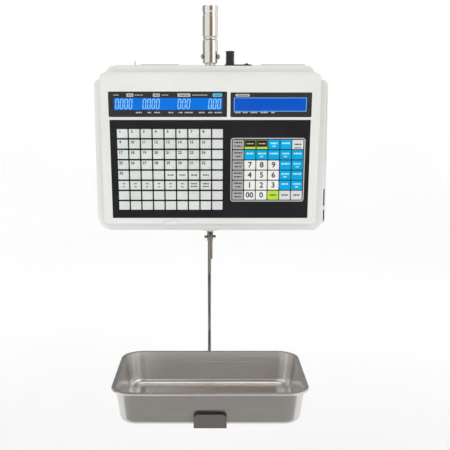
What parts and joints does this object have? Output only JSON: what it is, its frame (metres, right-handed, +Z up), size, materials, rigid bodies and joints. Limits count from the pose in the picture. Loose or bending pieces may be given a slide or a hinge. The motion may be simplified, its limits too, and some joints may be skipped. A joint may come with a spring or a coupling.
{
  "type": "hanging price scale",
  "caption": "Hanging price scale with a tilted keyboard, blue displays, side label printer, hook rod and removable steel pan.",
  "frame": {"origin": "centre of the hanger tube's top mouth", "axes": "+X right as the operator sees it, +Y towards the customer's side, +Z up along the hanger tube"},
  "size_m": [0.4294, 0.2785, 0.7725],
  "materials": {
    "hanger_nickel": "polished nickel plate",
    "yellow_zinc": "yellow zinc plate",
    "blue_zinc": "blue zinc plate",
    "bronze": "sintered bronze",
    "frame_steel": "galvanised sheet",
    "cell_aluminium": "machined",
    "housing": "fine moulded texture, warm light grey",
    "black_plastic": "moulded",
    "dark_window": "black printed clear window",
    "lcd": "blue backlit display",
    "board": "solder mask",
    "overlay": "printed polyester film",
    "sheet": "printed film",
    "speed_key": "embossed film, pale grey green",
    "number_key": "embossed film, off white",
    "function_key": "embossed film, mostly blue",
    "stainless": "satin stainless steel",
    "rod_steel": "drawn bright steel",
    "lip_rubber": "soft rubber",
    "label_paper": "coated label paper, whose density is near wood's",
    "gear_plastic": "acetal",
    "lever_green": "moulded"
  },
  "bodies": {
    "hanger": {"hanger_tube": "hanger_nickel", "hanger_bolt": "yellow_zinc", "hanger_nut": "yellow_zinc"},
    "yoke": {"swivel_stub": "blue_zinc", "swivel_nut": "blue_zinc", "thrust_washer": "blue_zinc"},
    "head": {"chassis": "frame_steel", "swivel_bush": "bronze", "load_cell": "cell_aluminium", "load_cell_bolts": "blue_zinc", "load_bracket": "frame_steel", "hook_fork": "rod_steel", "hook_pin": "rod_steel", "underside_boss": "housing", "front_cover": "housing", "rear_cover": "housing", "cover_screws": "blue_zinc", "top_vents": "black_plastic", "operator_window": "dark_window", "alpha_window": "dark_window", "weight_lcd": "lcd", "alpha_lcd": "lcd", "display_board": "board", "keyboard_panel": "overlay", "keyboard_backplate": "frame_steel", "speed_keys": "speed_key", "number_keys": "number_key", "function_keys": "function_key", "main_board": "board", "board_components": "black_plastic", "board_standoffs": "blue_zinc", "power_supply": "frame_steel", "customer_window": "dark_window", "customer_lcd": "lcd", "cord_outlet_flange": "black_plastic", "cord_outlet_sleeve": "black_plastic", "cord_outlet_screw": "black_plastic", "printer_frame": "frame_steel", "printer_motor": "frame_steel", "thermal_head": "cell_aluminium", "port_panel": "frame_steel", "port_sockets": "black_plastic", "switch_bezel": "black_plastic", "seal_stud": "blue_zinc", "door_hinge_pins": "blue_zinc"},
    "carrier": {"hook_rod": "rod_steel", "tray_arm": "stainless", "lip_pad": "lip_rubber"},
    "tray": {"tray": "stainless"},
    "door": {"printer_door": "housing"},
    "latch": {"door_latch": "housing"},
    "label_roll": {"label_roll": "label_paper", "roll_spindle": "gear_plastic"},
    "platen": {"platen_roller": "lip_rubber", "platen_gear": "gear_plastic"},
    "pinion": {"motor_pinion": "frame_steel"},
    "takeup": {"takeup_spool": "gear_plastic"},
    "head_lever": {"head_lever": "lever_green"},
    "rocker": {"power_rocker": "black_plastic"},
    "key_sheet": {"speed_key_sheet": "sheet"}
  },
  "joints": [
    {"name": "hanger_swing", "type": "hinge", "parent": "hanger", "child": "yoke", "pos_m": [0, 0, -0.0922], "axis": [1, 0, 0], "range_deg": [-8, 8]},
    {"name": "head_swivel", "type": "hinge", "parent": "yoke", "child": "head", "pos_m": [0, 0, -0.126], "axis": [0, 0, 1], "range_deg": [-170, 170]},
    {"name": "hook_swing", "type": "hinge", "parent": "head", "child": "carrier", "pos_m": [0, 0, -0.4334], "axis": [0.9744, 0.225, 0], "range_deg": [-18, 18]},
    {"name": "tray_lift", "type": "slide", "parent": "carrier", "child": "tray", "axis": [0, 0, 1], "range_m": [0, 0.03]},
    {"name": "door_hinge", "type": "hinge", "parent": "head", "child": "door", "pos_m": [0.2132, 0.0552, -0.2735], "axis": [0, 0, 1], "range_deg": [0, 95]},
    {"name": "latch_press", "type": "slide", "parent": "door", "child": "latch", "axis": [-1, 0, 0], "range_m": [0, 0.0025], "stiffness_N_per_m": 300, "springref_m": -0.0005},
    {"name": "label_roll_spin", "type": "hinge", "parent": "head", "child": "label_roll", "pos_m": [0.128, 0.002, -0.3665], "axis": [0, 0, 1], "continuous": true},
    {"name": "platen_spin", "type": "hinge", "parent": "head", "child": "platen", "pos_m": [0.19, -0.028, -0.3665], "axis": [0, 0, 1], "continuous": true},
    {"name": "pinion_spin", "type": "hinge", "parent": "head", "child": "pinion", "pos_m": [0.1732, -0.028, -0.327], "axis": [0, 0, 1], "continuous": true},
    {"name": "takeup_spin", "type": "hinge", "parent": "head", "child": "takeup", "pos_m": [0.188, 0.022, -0.3665], "axis": [0, 0, 1], "continuous": true},
    {"name": "head_lever_turn", "type": "hinge", "parent": "head", "child": "head_lever", "pos_m": [0.203, -0.009, -0.3665], "axis": [0, 0, 1], "range_deg": [-30, 0]},
    {"name": "power_rock", "type": "hinge", "parent": "head", "child": "rocker", "pos_m": [-0.052, 0.072, -0.367], "axis": [1, 0, 0], "range_deg": [0, 16]},
    {"name": "key_sheet_pull", "type": "slide", "parent": "head", "child": "key_sheet", "axis": [0, 0.1219, -0.9925], "range_m": [0, 0.17]}
  ],
  "couplings": [
    {"joint": "platen_spin", "follows": "pinion_spin", "ratio": -0.5}
  ]
}
